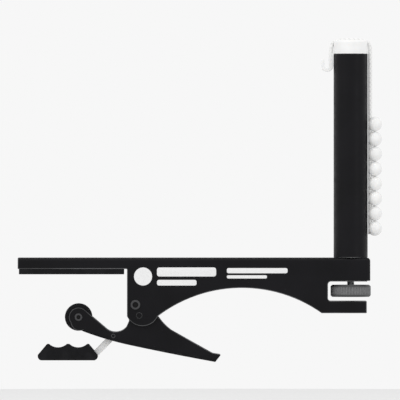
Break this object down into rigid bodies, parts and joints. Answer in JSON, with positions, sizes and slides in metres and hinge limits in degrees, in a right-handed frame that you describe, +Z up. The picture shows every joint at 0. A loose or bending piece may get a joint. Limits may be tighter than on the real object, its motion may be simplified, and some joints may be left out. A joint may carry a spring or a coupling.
{
  "type": "table tennis net clamp",
  "caption": "Spring clamp that grips a table edge and holds a net post, with a squeeze lever and roller, a height screw, a white cap and a beaded tension cord.",
  "frame": {"origin": "middle of the jaw pad's underside, where the clamp sits on the table top", "axes": "+X points away from the table along the jaw, +Z is up along the post, and the front faces -Y"},
  "size_m": [0.2384, 0.0262, 0.212],
  "materials": {
    "black_paint": "satin powder coat",
    "black_rubber": "matt",
    "rivet_steel": "blackened, worn bright on the rims",
    "zinc_steel": "zinc plated",
    "spring_steel": "oiled spring wire",
    "dark_nylon": "moulded",
    "grey_wheel": "moulded, grooved rim",
    "white_nylon": "moulded",
    "natural_nylon": "moulded",
    "nut_brass": "machined",
    "white_cord": "braided",
    "white_bead": "moulded"
  },
  "bodies": {
    "clamp": {"body_channel": "black_paint", "jaw_pad": "black_rubber", "pivot_rivet": "rivet_steel", "pivot_bush": "zinc_steel", "pivot_washers": "zinc_steel", "torsion_spring": "spring_steel", "lever_stop_pin": "black_paint", "bearing_plate": "zinc_steel", "guide_tube": "zinc_steel"},
    "lever": {"lever_channel": "black_paint", "roller_pin": "rivet_steel", "roller_washers": "zinc_steel", "strap_pin": "black_paint"},
    "roller": {"roller_hub": "dark_nylon", "roller_tyre": "black_rubber"},
    "strap": {"spacer_strap": "white_nylon"},
    "spacer": {"spacer_pad": "black_rubber", "pad_pin": "rivet_steel"},
    "adjuster": {"thumb_wheel": "grey_wheel", "wheel_lock_nut": "zinc_steel", "adjuster_stud": "zinc_steel", "stud_collar": "zinc_steel"},
    "post": {"post_tube": "black_paint", "guide_bushes": "natural_nylon", "key_pin": "rivet_steel", "nut_carrier": "natural_nylon", "lift_nut": "nut_brass", "post_cap": "white_nylon", "tension_cord": "white_cord", "cord_beads": "white_bead", "cord_hook": "white_nylon"}
  },
  "joints": [
    {"name": "lever_pivot", "type": "hinge", "parent": "clamp", "child": "lever", "pos_m": [0.04185, 0, -0.0199], "axis": [0, -1, 0], "range_deg": [0, 28], "stiffness_Nm_per_rad": 0.4, "springref_deg": -91.67, "deforming": ["torsion_spring"]},
    {"name": "roller_spin", "type": "hinge", "parent": "lever", "child": "roller", "pos_m": [0.0046, 0, -0.028], "axis": [0, -1, 0], "continuous": true},
    {"name": "strap_swing", "type": "hinge", "parent": "lever", "child": "strap", "pos_m": [0.02735, 0, -0.0403], "axis": [0, -1, 0], "range_deg": [-4, 40]},
    {"name": "pad_tilt", "type": "hinge", "parent": "strap", "child": "spacer", "pos_m": [0.01495, 0, -0.0527], "axis": [0, -1, 0], "range_deg": [-8, 60]},
    {"name": "wheel_turn", "type": "hinge", "parent": "clamp", "child": "adjuster", "pos_m": [0.18275, 0, -0.01085], "axis": [0, 0, 1], "range_deg": [-2700.5, 0]},
    {"name": "post_lift", "type": "slide", "parent": "clamp", "child": "post", "axis": [0, 0, 1], "range_m": [0, 0.006]}
  ],
  "couplings": [
    {"joint": "wheel_turn", "follows": "post_lift", "rad_per_m": -7854}
  ]
}
